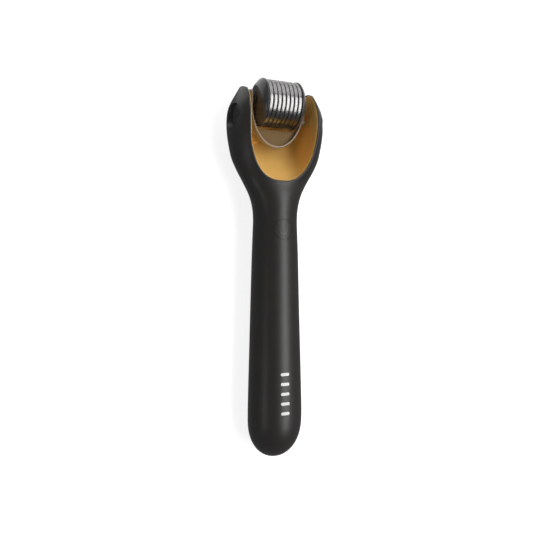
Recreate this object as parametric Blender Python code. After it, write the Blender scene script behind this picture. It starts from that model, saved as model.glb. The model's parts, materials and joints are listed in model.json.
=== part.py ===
"""Battery-driven derma roller: handle with a cup-shaped head, gold cup liner and a removable needle roller.

The object lies on its back. X is the roller's axle, +Y runs along the handle towards the head, +Z is the
front, the side that the roller faces. The origin is under the middle of the object, on the surface that it
lies on. Lengths below are millimetres; MM turns them into Blender's metres. A "station" is a distance
along the handle from its lower end, so a point at station s has y = s - OVERALL_LENGTH / 2.
"""

import math

import bmesh
import bpy
from mathutils import Matrix, Vector

MM = 0.001

# Driving dimensions
OVERALL_LENGTH = 160.6
SEAM = 0.3  # gap between pieces that touch on the real object
OUTSIDE = 45.0  # how far cutters reach, clear outside the object
HANDLE_HEIGHT = 11.6  # height of the handle's axis above the surface

# Needle roller
NEEDLE_LENGTH = 0.5
DISC_RADIUS = 9.7
DISC_COUNT = 8
DISC_PITCH = 1.83
DISC_THICKNESS = 1.45
NEEDLE_INSET = 0.5
HUB_RADIUS = 8.9
NEEDLES_PER_DISC = 24
CORE_RADIUS = 5.6
AXLE_RADIUS = 1.25
CAP_RADIUS = 10.0
CAP_ROUNDING_START = 7.8
CAP_END = 10.3
CAP_END_RADIUS = 6.5
CAP_POWER = 1.35
CAP_SEAT = 9.1  # the caps close over the core's ends from here
CORE_HALF_LENGTH = 8.8
WASHER_RADIUS = 3.0
TIP_RADIUS = DISC_RADIUS + NEEDLE_LENGTH
ROLLER_STATION = OVERALL_LENGTH - TIP_RADIUS
ROLLER_HEIGHT = HANDLE_HEIGHT + 2.6

# Roller cradle: half an ellipse in plan, its two arms beside the roller's ends
CRADLE_HALF_WIDTH = 12.0
CRADLE_REACH = 17.8
CRADLE_WALL = 0.9
CRADLE_TIP = 5.1
CRADLE_EYE_RADIUS = 2.4
WEB_LOW = -2.7
WEB_THICKNESS = 0.9

# Outer shell: station, half width, front depth, back depth, height of the axis
END_ROUNDING = 16.0
END_POWER = 2.1
END_FLAT = 0.12  # share of the section that is left at the very end
HEAD_TOP = 156.4
SHELL_STATIONS = (
    (0.0, 11.5, 11.5, 11.0, 9.2),
    (6.0, 11.5, 11.5, 11.2, 10.2),
    (14.0, 11.5, 11.5, 11.55, 11.1),
    (20.0, 11.55, 11.5, 11.75, 11.45),
    (30.0, 11.35, 11.3, 11.65, 11.5),
    (44.0, 11.0, 11.0, 11.1, 11.5),
    (58.0, 10.65, 10.65, 10.7, 11.5),
    (72.0, 10.3, 10.3, 10.3, 11.55),
    (86.0, 9.95, 9.95, 9.9, 11.7),
    (96.0, 9.6, 9.6, 9.6, 11.75),
    (102.0, 9.45, 9.4, 9.5, 11.85),
    (107.0, 9.9, 9.5, 10.0, 12.0),
    (112.0, 11.35, 9.4, 10.9, 12.1),
    (117.2, 14.1, 8.8, 11.6, 12.1),
    (122.5, 17.2, 11.0, 12.1, 12.1),
    (127.0, 19.3, 12.8, 12.15, 12.0),
    (131.5, 20.4, 14.3, 12.15, 11.9),
    (137.0, 21.25, 16.0, 12.15, 11.8),
    (142.0, 21.45, 16.6, 12.15, 11.8),
    (147.0, 20.85, 16.4, 12.15, 11.8),
    (150.0, 19.6, 15.5, 12.05, 11.8),
    (153.0, 18.0, 14.0, 11.7, 11.9),
    (155.3, 16.7, 12.6, 11.2, 12.0),
    (HEAD_TOP, 16.1, 12.0, 10.9, 12.1),
)
BORE_RADIUS = 7.2
BORE_START = 9.5
BORE_TAPER_START = 113.4
BORE_END = 116.9
BORE_END_RADIUS = 4.2
SHELL_SEGMENTS = 40

# Mouth of the cup: its outline seen from the front is a superellipse, open towards the head
MOUTH_HALF_WIDTH = 15.6
MOUTH_START = 116.6
MOUTH_WIDEST = 142.0
MOUTH_POWER = 2.35
MOUTH_NARROWING = 0.8
EAR_DROP = 10.5
RIM_WIDTH = 0.6
LINER_WALL = 0.8
LINER_END = HEAD_TOP - 1.2
SCOOP_DEEPEST = 146.0
SCOOP_POWER = 2.6
SCOOP_FLOOR = 2.6
SCOOP_LIP_RISE = 16.6
SCREW_STATION = 137.0
SCREW_OFFSET = 6.0
SCREW_HOLE_RADIUS = 0.75
SCREW_HEAD_RADIUS = 1.5

# Handle frame: the inner parts are stacked along the handle's axis, measured from this station
STACK_STATION = 60.0
CHASSIS_RADIUS = 6.9
CHASSIS_WALL = 0.8
CHASSIS_EDGE = 2.6
BATTERY_RADIUS = 5.0
BATTERY_LENGTH = 44.0
BATTERY_START = -46.5
BOARD_START = 3.0
BOARD_END = 41.4
BOARD_THICKNESS = 1.0
MOTOR_RADIUS = 3.5
MOTOR_LENGTH = 10.0
MOTOR_START = 42.2

# Buttons
POWER_BUTTON_RADIUS = 4.2
POWER_BUTTON_STATION = 96.9
RELEASE_STATION = 143.9
RELEASE_HEIGHT = 15.7
RELEASE_RADIUS = 3.6
RELEASE_FACE = 19.2
RELEASE_HEAD = 1.2
RELEASE_BORE_FLOOR = 15.2
NOSE_RADIUS = 1.9
RELEASE_NOSE_END = 15.0
CONTACT_STATIONS = (17.0, 24.0)

# Return springs under the release buttons
SPRING_RADIUS = 2.8
SPRING_WIRE = 0.2
SPRING_TURNS = 2.5

FINE = 48
COARSE = 24


# ---------------------------------------------------------------- helpers

def clear_scene():
    for obj in list(bpy.data.objects):
        bpy.data.objects.remove(obj, do_unlink=True)


def material(name, color, roughness, metallic=0.0):
    made = bpy.data.materials.new(name)
    made.use_nodes = True
    shader = made.node_tree.nodes["Principled BSDF"]
    shader.inputs["Base Color"].default_value = (*color, 1.0)
    shader.inputs["Roughness"].default_value = roughness
    shader.inputs["Metallic"].default_value = metallic
    return made


def world_point(x, station, height):
    """A point of the object, in metres."""
    return Vector((x, station - OVERALL_LENGTH / 2, height)) * MM


def add_object(name, mesh, finish=None, location=(0, 0, 0), parent=None):
    obj = bpy.data.objects.new(name, mesh)
    bpy.context.scene.collection.objects.link(obj)
    obj.location = location
    obj.parent = parent
    if finish:
        mesh.materials.append(finish)
    return obj


def mesh_from(bm, name):
    bmesh.ops.recalc_face_normals(bm, faces=bm.faces)
    mesh = bpy.data.meshes.new(name)
    bm.to_mesh(mesh)
    bm.free()
    mesh.shade_smooth()
    mesh.set_sharp_from_angle(angle=math.radians(35))
    return mesh


def lofted(name, rings):
    """A closed mesh through rings of points (in metres), with the first and last ring capped."""
    bm = bmesh.new()
    rows = [[bm.verts.new(point) for point in ring] for ring in rings]
    count = len(rings[0])
    for low, high in zip(rows, rows[1:]):
        for i in range(count):
            j = (i + 1) % count
            bm.faces.new((low[i], low[j], high[j], high[i]))
    bm.faces.new(rows[0])
    bm.faces.new(rows[-1])
    return mesh_from(bm, name)


def turned(name, profile, axis="X", segments=COARSE):
    """A profile of (radius, distance along the axis) points, spun once round the axis."""
    bm = bmesh.new()
    verts = [bm.verts.new((along * MM, 0, radius * MM)) for radius, along in profile]
    edges = [bm.edges.new((a, b)) for a, b in zip(verts, verts[1:])]
    if profile[0][0] > 0:
        edges.append(bm.edges.new((verts[-1], verts[0])))
    bmesh.ops.spin(
        bm, geom=verts + edges, cent=(0, 0, 0), axis=(1, 0, 0), angle=math.tau, steps=segments
    )
    bmesh.ops.remove_doubles(bm, verts=bm.verts, dist=1e-7)
    turn = {
        "X": Matrix.Identity(4),
        "Y": Matrix.Rotation(math.pi / 2, 4, "Z"),
        "Z": Matrix.Rotation(-math.pi / 2, 4, "Y"),
    }[axis]
    bmesh.ops.transform(bm, matrix=turn, verts=bm.verts)
    return mesh_from(bm, name)


def rod(name, radius, start, end, axis="X", segments=COARSE):
    return turned(name, ((0, start), (radius, start), (radius, end), (0, end)), axis, segments)


def tube(name, inner, outer, start, end, axis="X", segments=COARSE):
    profile = ((inner, start), (outer, start), (outer, end), (inner, end))
    return turned(name, profile, axis, segments)


def block(name, low, high):
    """A box between two corners in millimetres."""
    bm = bmesh.new()
    bmesh.ops.create_cube(bm, size=1.0)
    low, high = Vector(low) * MM, Vector(high) * MM
    for vert in bm.verts:
        vert.co = Vector((low[i] + (vert.co[i] + 0.5) * (high[i] - low[i]) for i in range(3)))
    return mesh_from(bm, name)


def prism(name, outline, place, start, end):
    """An outline of 2-D points, swept from start to end; place(u, v, w) gives each point in metres."""
    return lofted(name, [[place(u, v, w) for u, v in outline] for w in (start, end)])


def boolean(obj, other, operation="DIFFERENCE"):
    other.hide_render = True
    other.display_type = "WIRE"
    step = obj.modifiers.new(other.name, "BOOLEAN")
    step.operation = operation
    step.object = other
    step.solver = "EXACT"


def helper(name, mesh, location=(0, 0, 0), parent=None):
    return add_object("helper_" + name, mesh, None, location, parent)


def arc(cx, cy, radius, start, end, steps):
    """Points on an arc, its angles in degrees."""
    angles = [math.radians(start + (end - start) * i / steps) for i in range(steps + 1)]
    return [(cx + radius * math.cos(a), cy + radius * math.sin(a)) for a in angles]


def spread(start, end, steps):
    return [start + (end - start) * i / steps for i in range(steps + 1)]


# ---------------------------------------------------------------- shapes of the shell and the cup

def shell_at(station):
    """Half width, front depth, back depth and axis height of the shell, smooth between its stations."""
    rows = SHELL_STATIONS
    station = min(max(station, rows[0][0]), rows[-1][0])
    i = max(k for k in range(len(rows) - 1) if rows[k][0] <= station)
    before, low, high, after = rows[max(i - 1, 0)], rows[i], rows[i + 1], rows[min(i + 2, len(rows) - 1)]
    step = high[0] - low[0]
    t = (station - low[0]) / step
    values = []
    for column in range(1, 5):
        leave = (high[column] - before[column]) / (high[0] - before[0]) * step
        arrive = (after[column] - low[column]) / (after[0] - low[0]) * step
        values.append(
            (2 * t**3 - 3 * t**2 + 1) * low[column]
            + (t**3 - 2 * t**2 + t) * leave
            + (3 * t**2 - 2 * t**3) * high[column]
            + (t**3 - t**2) * arrive
        )
    if station < END_ROUNDING:
        left = max(1 - (1 - station / END_ROUNDING) ** END_POWER, 0) ** (1 / END_POWER)
        values[:3] = [value * max(left, END_FLAT) for value in values[:3]]
    return values


def shell_ring(station, inset=0.0, segments=SHELL_SEGMENTS):
    """One cross-section of the shell, made smaller all round by the inset."""
    width, front, back, height = shell_at(station)
    ring = []
    for i in range(segments):
        angle = math.tau * i / segments
        depth = front if math.sin(angle) > 0 else back
        x = (width - inset) * math.cos(angle)
        z = height + (depth - inset) * math.sin(angle)
        ring.append(world_point(x, station, z))
    return ring


def mouth_half_width(station, inset=0.0):
    """Half width of the cup's outline, seen from the front."""
    start = MOUTH_START + inset
    t = min(max((MOUTH_WIDEST - station) / (MOUTH_WIDEST - start), 0.0), 1.0)
    beyond = min(max((station - MOUTH_WIDEST) / (HEAD_TOP - MOUTH_WIDEST), 0.0), 1.0)
    widest = MOUTH_HALF_WIDTH - inset - MOUTH_NARROWING * beyond**3
    return widest * (1 - t**MOUTH_POWER) ** (1 / MOUTH_POWER)


def rim_height(station):
    """Height of the cup's rim, as seen from the side."""
    on_shell = min(station, MOUTH_WIDEST)
    width, front, _, axis = shell_at(on_shell)
    across = mouth_half_width(on_shell) / width
    height = axis + front * math.sqrt(1 - across**2)
    if station > MOUTH_WIDEST:
        t = min((station - MOUTH_WIDEST) / (HEAD_TOP - MOUTH_WIDEST), 1.0)
        height -= EAR_DROP * (1 - math.sqrt(1 - t**2))
    return height


def scoop_floor(station):
    """Height of the cup's inner floor along its middle."""
    start = MOUTH_START + RIM_WIDTH
    t = min(max((station - start) / (SCOOP_DEEPEST - start), 0.0), 1.0)
    rise = 0.9 * max((station - HEAD_TOP + 8) / 8, 0.0) ** 2
    return SCOOP_FLOOR + SCOOP_LIP_RISE * (1 - t) ** SCOOP_POWER + rise


def cup_section(station, inset, drop, segments):
    """(x, z) points of a U-shaped section of the cup, from its left edge under to its right edge."""
    width = max(mouth_half_width(station, RIM_WIDTH + inset), 0.25)
    top = rim_height(station)
    depth = max(top - scoop_floor(station) + drop, 0.2)
    t = min(max((station - MOUTH_START) / (MOUTH_WIDEST - MOUTH_START), 0.0), 1.0)
    beyond = max((station - MOUTH_WIDEST) / (HEAD_TOP - MOUTH_WIDEST), 0.0)
    power = 2.3 + 2.2 * t - 0.9 * beyond**3
    points = []
    for i in range(segments + 1):
        angle = math.pi * i / segments
        across = -math.copysign(abs(math.cos(angle)) ** (2 / power), math.cos(angle))
        under = math.sin(angle) ** (2 / power) if 0 < i < segments else 0.0
        points.append((width * across, top - depth * under))
    return points


def cup_stations(start, steps):
    """Stations that crowd together at the start, where the cup's outline turns."""
    reach = LINER_END - start
    return [start + reach * (i / steps) ** 1.7 for i in range(steps + 1)]


# ---------------------------------------------------------------- casing

def make_outer_shell(finish):
    stations = [0, 0.45, 1.3, 2.8, 5.0, 8, 12, 16.5, 22, 30, 48, 70, 88, 98, 104, 109, 113]
    stations += [117.2, 120, 123.5, 127, 131.5, 136, 140, 144, 147.5, 150.5, 153, 155.1, HEAD_TOP]
    shell = add_object("outer_shell", lofted("outer_shell", [shell_ring(s) for s in stations]), finish)

    profile = ((0, BORE_START), (BORE_RADIUS, BORE_START), (BORE_RADIUS, BORE_TAPER_START),
               (BORE_END_RADIUS, BORE_END), (0, BORE_END))
    bore = turned("bore", [(radius, station - STACK_STATION) for radius, station in profile], "Y", 32)
    boolean(shell, helper("bore", bore, (0, 0, 0), handle_frame))

    rim = spread(MOUTH_START, MOUTH_WIDEST, 12)
    rim += [MOUTH_WIDEST + (HEAD_TOP - MOUTH_WIDEST) * t for t in (0.2, 0.4, 0.6, 0.75, 0.87, 0.95, 1)]
    side = [(s, rim_height(s)) for s in rim]
    beyond = HEAD_TOP + 4
    side += [(beyond, rim_height(HEAD_TOP)), (beyond, OUTSIDE), (MOUTH_START, OUTSIDE)]
    mouth = prism("mouth", side, lambda s, z, x: world_point(x, s, z), -OUTSIDE, OUTSIDE)
    boolean(shell, helper("mouth", mouth))

    rings = []
    for station in cup_stations(MOUTH_START + RIM_WIDTH, 12) + [HEAD_TOP + 3]:
        section = cup_section(station, 0.0, LINER_WALL + SEAM, 20)
        wide = section[-1][0]
        rings.append([world_point(x, station, z) for x, z in section + [(wide, OUTSIDE), (-wide, OUTSIDE)]])
    boolean(shell, helper("cup_pocket", lofted("cup_pocket", rings)))

    for side_name, sign in (("left", -1), ("right", 1)):
        bore = rod("button_bore", RELEASE_RADIUS + 0.5, sign * RELEASE_BORE_FLOOR, sign * OUTSIDE, "X")
        boolean(shell, helper(side_name + "_bore", bore, world_point(0, RELEASE_STATION, RELEASE_HEIGHT)))
        nose = rod("nose_hole", NOSE_RADIUS + SEAM, sign * 10, sign * 25, "X")
        place = world_point(0, RELEASE_STATION, RELEASE_HEIGHT)
        boolean(shell, helper(side_name + "_nose_hole", nose, place))
        screw = rod("screw_hole", SCREW_HOLE_RADIUS, 0.6, 5, "Z", 12)
        place = world_point(sign * SCREW_OFFSET, SCREW_STATION, 0)
        boolean(shell, helper(side_name + "_screw_hole", screw, place))

    button = rod("button_hole", POWER_BUTTON_RADIUS + SEAM, 4, 14, "Z")
    boolean(shell, helper("button_hole", button, (0, power_button_along() * MM, 0), handle_frame))

    for station in CONTACT_STATIONS:
        contact = turned("contact_hole", ((0, -4), (1.7, -4), (1.7, 0.7), (1.0, 0.7), (1.0, 6), (0, 6)), "Z")
        boolean(shell, helper("contact_hole", contact, world_point(0, station, 0)))

    flat = block("flat_cut", (-OUTSIDE, -OVERALL_LENGTH, -OUTSIDE), (OUTSIDE, OVERALL_LENGTH, 0))
    boolean(shell, helper("flat_cut", flat))
    return shell


def make_cup_liner(finish):
    """The liner follows the pocket: an inner and an outer surface, joined along the rim and the top."""
    steps = 22
    around = 20
    stations = cup_stations(MOUTH_START + RIM_WIDTH + SEAM + LINER_WALL, steps)
    bm = bmesh.new()
    inner, outer = [], []
    for i, station in enumerate(stations):
        shift = LINER_WALL * (1 - i / steps)
        section = cup_section(station, SEAM + LINER_WALL, 0.0, around)
        inner.append([bm.verts.new(world_point(x, station, z - 0.05)) for x, z in section])
        section = cup_section(station - shift, SEAM, LINER_WALL, around)
        outer.append([bm.verts.new(world_point(x, station - shift, z - 0.05)) for x, z in section])
    for surface in (inner, outer):
        for low, high in zip(surface, surface[1:]):
            for i in range(around):
                bm.faces.new((low[i], low[i + 1], high[i + 1], high[i]))
    for edge in (0, around):
        for i in range(steps):
            bm.faces.new((inner[i][edge], inner[i + 1][edge], outer[i + 1][edge], outer[i][edge]))
    for row in (0, steps):
        for i in range(around):
            bm.faces.new((inner[row][i], inner[row][i + 1], outer[row][i + 1], outer[row][i]))
    liner = add_object("cup_liner", mesh_from(bm, "cup_liner"), finish)

    for side_name, sign in (("left", -1), ("right", 1)):
        nose = rod("liner_hole", NOSE_RADIUS + SEAM, sign * 8, sign * 20, "X")
        boolean(liner, helper(side_name + "_liner_hole", nose,
                              world_point(0, RELEASE_STATION, RELEASE_HEIGHT)))
        screw = rod("liner_screw_hole", 1.1, 2, 7, "Z", 12)
        place = world_point(sign * SCREW_OFFSET, SCREW_STATION, 0)
        boolean(liner, helper(side_name + "_liner_screw_hole", screw, place))
    return liner


def make_liner_screws(finish):
    head = SCREW_HEAD_RADIUS
    shank = SCREW_HOLE_RADIUS - SEAM
    profile = ((0, 0.9), (shank, 0.9), (shank, 4.2), (head, 4.2), (head, 4.8), (head - 0.3, 5.1), (0, 5.1))
    for side_name, sign in (("left", -1), ("right", 1)):
        mesh = turned("liner_screw", profile, "Z", 12)
        place = world_point(sign * SCREW_OFFSET, SCREW_STATION, 0)
        add_object(side_name + "_liner_screw", mesh, finish, place)


# ---------------------------------------------------------------- inside the handle

def power_button_along():
    """The power button's place in the handle frame."""
    return POWER_BUTTON_STATION - STACK_STATION


def board_screw_places():
    """(name, x, distance along the handle) of the two screws that hold the board."""
    return (("rear", -4.6, BOARD_START + 2.0), ("front", 4.6, BOARD_END - 2.0))


def make_chassis(finish):
    start, end = BATTERY_START - 1.2, MOTOR_START + MOTOR_LENGTH + 0.4
    channel = tube("inner_chassis", CHASSIS_RADIUS - CHASSIS_WALL, CHASSIS_RADIUS, start, end, "Y", 32)
    chassis = add_object("inner_chassis", channel, finish, (0, 0, 0), handle_frame)
    front = block("chassis_opening", (-9, -80, CHASSIS_EDGE), (9, 80, 9))
    boolean(chassis, helper("chassis_opening", front, (0, 0, 0), handle_frame))
    for side_name, sign in (("left", -1), ("right", 1)):
        near, far = sorted((sign * 3.8, sign * 6.2))
        ledge = block("ledge", (near, BOARD_START, 1.0), (far, BOARD_END, CHASSIS_EDGE - 0.05))
        boolean(chassis, helper(side_name + "_ledge", ledge, (0, 0, 0), handle_frame), "UNION")
    for name, x, along in board_screw_places():
        hole = rod("screw_seat", 0.7, 0, 4, "Z", 12)
        boolean(chassis, helper(name + "_screw_seat", hole, Vector((x, along, 0)) * MM, handle_frame))
    return chassis


def make_battery(can_finish, tab_finish):
    start = BATTERY_START
    end = start + BATTERY_LENGTH
    profile = ((0, start), (4.6, start), (BATTERY_RADIUS, start + 0.4), (BATTERY_RADIUS, end - 1.4),
               (4.6, end - 1.0), (2.0, end - 1.0), (2.0, end), (0, end))
    add_object("battery_cell", turned("battery_cell", profile, "Y"), can_finish, (0, 0, 0), handle_frame)
    for name, low in (("battery_tab_negative", start - 0.65), ("battery_tab_positive", end + 0.35)):
        tab = block(name, (-2.0, low, -2.5), (2.0, low + 0.3, 5.2))
        add_object(name, tab, tab_finish, (0, 0, 0), handle_frame)


def make_board(board_finish, chip_finish, metal_finish):
    low = CHASSIS_EDGE + SEAM
    top = low + BOARD_THICKNESS
    plate = block("circuit_board", (-5.5, BOARD_START, low), (5.5, BOARD_END, top))
    board = add_object("circuit_board", plate, board_finish, (0, 0, 0), handle_frame)
    for name, x, along in board_screw_places():
        place = Vector((x, along, 0)) * MM
        notch = rod("board_notch", 0.7, low - 2, top + 2, "Z", 12)
        boolean(board, helper(name + "_board_notch", notch, place, handle_frame))
        profile = ((0, 1.2), (0.4, 1.2), (0.4, top + 0.3), (0.8, top + 0.3), (0.8, top + 0.9), (0, top + 0.9))
        add_object(name + "_board_screw", turned("board_screw", profile, "Z", 12), metal_finish, place,
                   handle_frame)
    along = power_button_along()
    parts = (
        ("controller_chip", (-2.5, 20.0, top + SEAM), (2.5, 25.0, top + 1.2), chip_finish),
        ("charger_chip", (-1.5, 9.0, top + SEAM), (1.5, 12.0, top + 1.2), chip_finish),
        ("tact_switch_base", (-1.9, along - 1.9, top + SEAM), (1.9, along + 1.9, top + 1.4), metal_finish),
    )
    for name, corner, opposite, finish in parts:
        add_object(name, block(name, corner, opposite), finish, (0, 0, 0), handle_frame)


def make_power_button(button_finish, plunger_finish):
    """The cap is cut from the shell's own surface, so that it lies flush with it."""
    along = power_button_along() * MM
    rings = [shell_ring(s) for s in (84, 88, 92, 94, 96, 98, 100, 102, 104, 106)]
    cap = add_object("power_button", rod("power_button", POWER_BUTTON_RADIUS, 7.9, 14, "Z", FINE),
                     button_finish, (0, along, 0), handle_frame)
    boolean(cap, helper("button_surface", lofted("button_surface", rings)), "INTERSECT")
    stem = rod("button_stem", 1.2, 6.8, 8.6, "Z", 16)
    boolean(cap, helper("button_stem", stem, (0, along, 0), handle_frame), "UNION")
    plunger = rod("tact_switch_plunger", 1.0, 5.7, 6.5, "Z", 16)
    add_object("tact_switch_plunger", plunger, plunger_finish, (0, along, 0), handle_frame)


def make_motor(can_finish, rubber_finish, steel_finish, weight_finish):
    start = MOTOR_START
    end = start + MOTOR_LENGTH
    profile = ((0, start), (3.1, start), (MOTOR_RADIUS, start + 0.4), (MOTOR_RADIUS, end - 0.3),
               (3.2, end), (0.8, end), (0.8, start + 2.5), (0, start + 2.5))
    add_object("motor_can", turned("motor_can", profile, "Y"), can_finish, (0, 0, 0), handle_frame)
    sleeve = tube("motor_sleeve", MOTOR_RADIUS + SEAM, CHASSIS_RADIUS - CHASSIS_WALL - SEAM,
                  start + 0.6, end - 0.8, "Y")
    add_object("motor_sleeve", sleeve, rubber_finish, (0, 0, 0), handle_frame)
    add_object("motor_shaft", rod("motor_shaft", 0.5, start + 2.8, end + 4.3, "Y", 16), steel_finish,
               (0, 0, 0), handle_frame)
    outline = arc(0, 0, 3.0, -165, -15, 12) + arc(0, 0, 1.5, 20, 160, 8)
    weight = prism("eccentric_weight", outline, lambda x, z, y: Vector((x, y, z)) * MM, end + 0.8, end + 4.0)
    weight_obj = add_object("eccentric_weight", weight, weight_finish, (0, 0, 0), handle_frame)
    bore = rod("weight_bore", 0.8, end, end + 7, "Y", 16)
    boolean(weight_obj, helper("weight_bore", bore, (0, 0, 0), handle_frame))


def make_charge_contacts(finish):
    profile = ((0, 0.2), (1.15, 0.2), (1.35, 0.4), (0.7, 0.4), (0.7, 4.6), (0, 4.6))
    for name, station in zip(("charge_contact_positive", "charge_contact_negative"), CONTACT_STATIONS):
        add_object(name, turned(name, profile, "Z"), finish, world_point(0, station, 0))


# ---------------------------------------------------------------- needle roller

def make_needle_disc(name, finish, x, turn, parent):
    """A disc on a wider hub, with a needle standing on every second side of its rim."""
    half_hub = (DISC_PITCH - SEAM) / 2
    half_disc = DISC_THICKNESS / 2
    bore = CORE_RADIUS + SEAM
    sides = NEEDLES_PER_DISC
    bm = bmesh.new()
    profile = (
        (bore, -half_hub),
        (HUB_RADIUS, -half_hub),
        (HUB_RADIUS, -half_disc),
        (DISC_RADIUS, -half_disc),
        (DISC_RADIUS, half_disc),
        (HUB_RADIUS, half_disc),
        (HUB_RADIUS, half_hub),
        (bore, half_hub),
    )
    rows = []
    for i in range(sides):
        angle = math.tau * (i + 0.5) / sides + turn
        row = [Vector((along, r * math.cos(angle), r * math.sin(angle))) for r, along in profile]
        rows.append([bm.verts.new(point * MM) for point in row])
    rim = []
    for i in range(sides):
        here, there = rows[i], rows[(i + 1) % sides]
        for k in range(len(profile)):
            n = (k + 1) % len(profile)
            face = bm.faces.new((here[k], there[k], there[n], here[n]))
            if k == 3:
                rim.append(face)
    for face in rim:
        bmesh.ops.inset_individual(bm, faces=[face], thickness=NEEDLE_INSET * MM)
        tip = face.calc_center_median()
        away = Vector((0, tip.y, tip.z)).normalized()
        bmesh.ops.poke(bm, faces=[face], offset=0)
        centre = min(bm.verts, key=lambda v: (v.co - tip).length)
        centre.co = away * TIP_RADIUS * MM
    return add_object(name, mesh_from(bm, name), finish, (x * MM, 0, 0), parent)


def make_roller(disc_finish, cap_finish):
    first = -(DISC_COUNT - 1) / 2 * DISC_PITCH
    for i in range(DISC_COUNT):
        turn = 0.0 if i % 2 == 0 else math.pi / NEEDLES_PER_DISC
        make_needle_disc("needle_disc_%d" % (i + 1), disc_finish, first + i * DISC_PITCH, turn, roller_axis)
    bearing = AXLE_RADIUS + SEAM
    core = tube("drum_core", bearing, CORE_RADIUS, -CORE_HALF_LENGTH, CORE_HALF_LENGTH)
    add_object("drum_core", core, cap_finish, (0, 0, 0), roller_axis)
    cap_face = DISC_COUNT / 2 * DISC_PITCH + SEAM / 2
    rounding = []
    for angle in spread(0, math.pi / 2, 8):
        out = max(math.cos(angle), 0.0) ** (2 / CAP_POWER)
        along = math.sin(angle) ** (2 / CAP_POWER)
        rounding.append((CAP_END_RADIUS + (CAP_RADIUS - CAP_END_RADIUS) * out,
                         CAP_ROUNDING_START + (CAP_END - CAP_ROUNDING_START) * along))
    for side_name, sign in (("left", -1), ("right", 1)):
        profile = [(CORE_RADIUS + SEAM, cap_face), (CAP_RADIUS, cap_face)] + rounding
        profile += [(bearing, CAP_END), (bearing, CAP_SEAT), (CORE_RADIUS + SEAM, CAP_SEAT)]
        profile = [(radius, sign * along) for radius, along in profile]
        cap = turned(side_name + "_end_cap", profile, "X", 36)
        add_object(side_name + "_end_cap", cap, cap_finish, (0, 0, 0), roller_axis)
        near, far = sorted((sign * (CAP_END + SEAM), sign * (CAP_END + 2 * SEAM)))
        washer = tube("thrust_washer", bearing, WASHER_RADIUS, near, far)
        add_object(side_name + "_thrust_washer", washer, cap_finish, (0, 0, 0), roller_axis)


def cradle_line(offset):
    """The U of the cradle in plan, as (x, distance from the axle along the handle) points."""
    across = CRADLE_HALF_WIDTH + offset
    down = CRADLE_REACH + offset
    angles = spread(0, math.pi, 26)
    bend = [(across * math.cos(angle), -down * math.sin(angle)) for angle in angles]
    return [(across, 8.0)] + bend + [(-across, 8.0)]


def make_cradle(cradle_finish, pin_finish):
    """A U-shaped wall whose arms are cut to shape from the side, with a web across its lower part."""
    def level(x, y, z):
        return Vector((x, y, z)) * MM

    outline = cradle_line(CRADLE_WALL / 2) + cradle_line(-CRADLE_WALL / 2)[::-1]
    cradle = add_object("roller_cradle", prism("roller_cradle", outline, level, -8, 8), cradle_finish,
                        (0, 0, 0), roller_axis)
    tip = arc(CRADLE_TIP - 1.6, CRADLE_EYE_RADIUS - 1.6, 1.6, 0, 90, 6)
    side = [(CRADLE_TIP, -1.4), (CRADLE_TIP - 1.2, -CRADLE_EYE_RADIUS), (-5.0, -CRADLE_EYE_RADIUS - 0.5),
            (-19.5, -3.7), (-19.5, -0.3), (-17.8, -0.3), (-12.0, 0.4), (-6.0, 1.4), (0.0, CRADLE_EYE_RADIUS)]
    keep = prism("arm_side", side + tip[::-1], lambda y, z, x: level(x, y, z), -20, 20)
    boolean(cradle, helper("arm_side", keep, (0, 0, 0), roller_axis), "INTERSECT")

    web_outline = [(x, y) for x, y in cradle_line(0.0) if y < -TIP_RADIUS - 0.4]
    web = prism("cradle_web", web_outline, level, WEB_LOW, WEB_LOW + WEB_THICKNESS)
    boolean(cradle, helper("cradle_web", web, (0, 0, 0), roller_axis), "UNION")

    lug_place = world_point(0, RELEASE_STATION, ROLLER_HEIGHT - 0.6) - roller_axis.location
    for side_name, sign in (("left", -1), ("right", 1)):
        near, far = sorted((sign * 11.2, sign * 13.1))
        lug = rod("cradle_lug", 1.2, near, far, "X", 16)
        boolean(cradle, helper(side_name + "_lug", lug, lug_place, roller_axis), "UNION")
    hole = rod("axle_hole", AXLE_RADIUS + SEAM, -20, 20, "X")
    boolean(cradle, helper("axle_hole", hole, (0, 0, 0), roller_axis))
    axle = rod("axle_pin", AXLE_RADIUS, -12.4, 12.4, "X")
    add_object("axle_pin", axle, pin_finish, (0, 0, 0), roller_axis)


# ---------------------------------------------------------------- release buttons

def coil_mesh(name, radius, wire, start, end, turns, per_turn=10, sides=6):
    """A compression spring along X."""
    rings = []
    steps = int(turns * per_turn)
    climb = (end - start) / (math.tau * radius * turns)
    for i in range(steps + 1):
        angle = math.tau * turns * i / steps
        out = Vector((0, math.cos(angle), math.sin(angle)))
        centre = out * radius + Vector((start + (end - start) * i / steps, 0, 0))
        ahead = Vector((climb, -math.sin(angle), math.cos(angle))).normalized()
        side = ahead.cross(out)
        ring = []
        for k in range(sides):
            turn = math.tau * k / sides
            ring.append((centre + (out * math.cos(turn) + side * math.sin(turn)) * wire) * MM)
        rings.append(ring)
    return lofted(name, rings)


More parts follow.
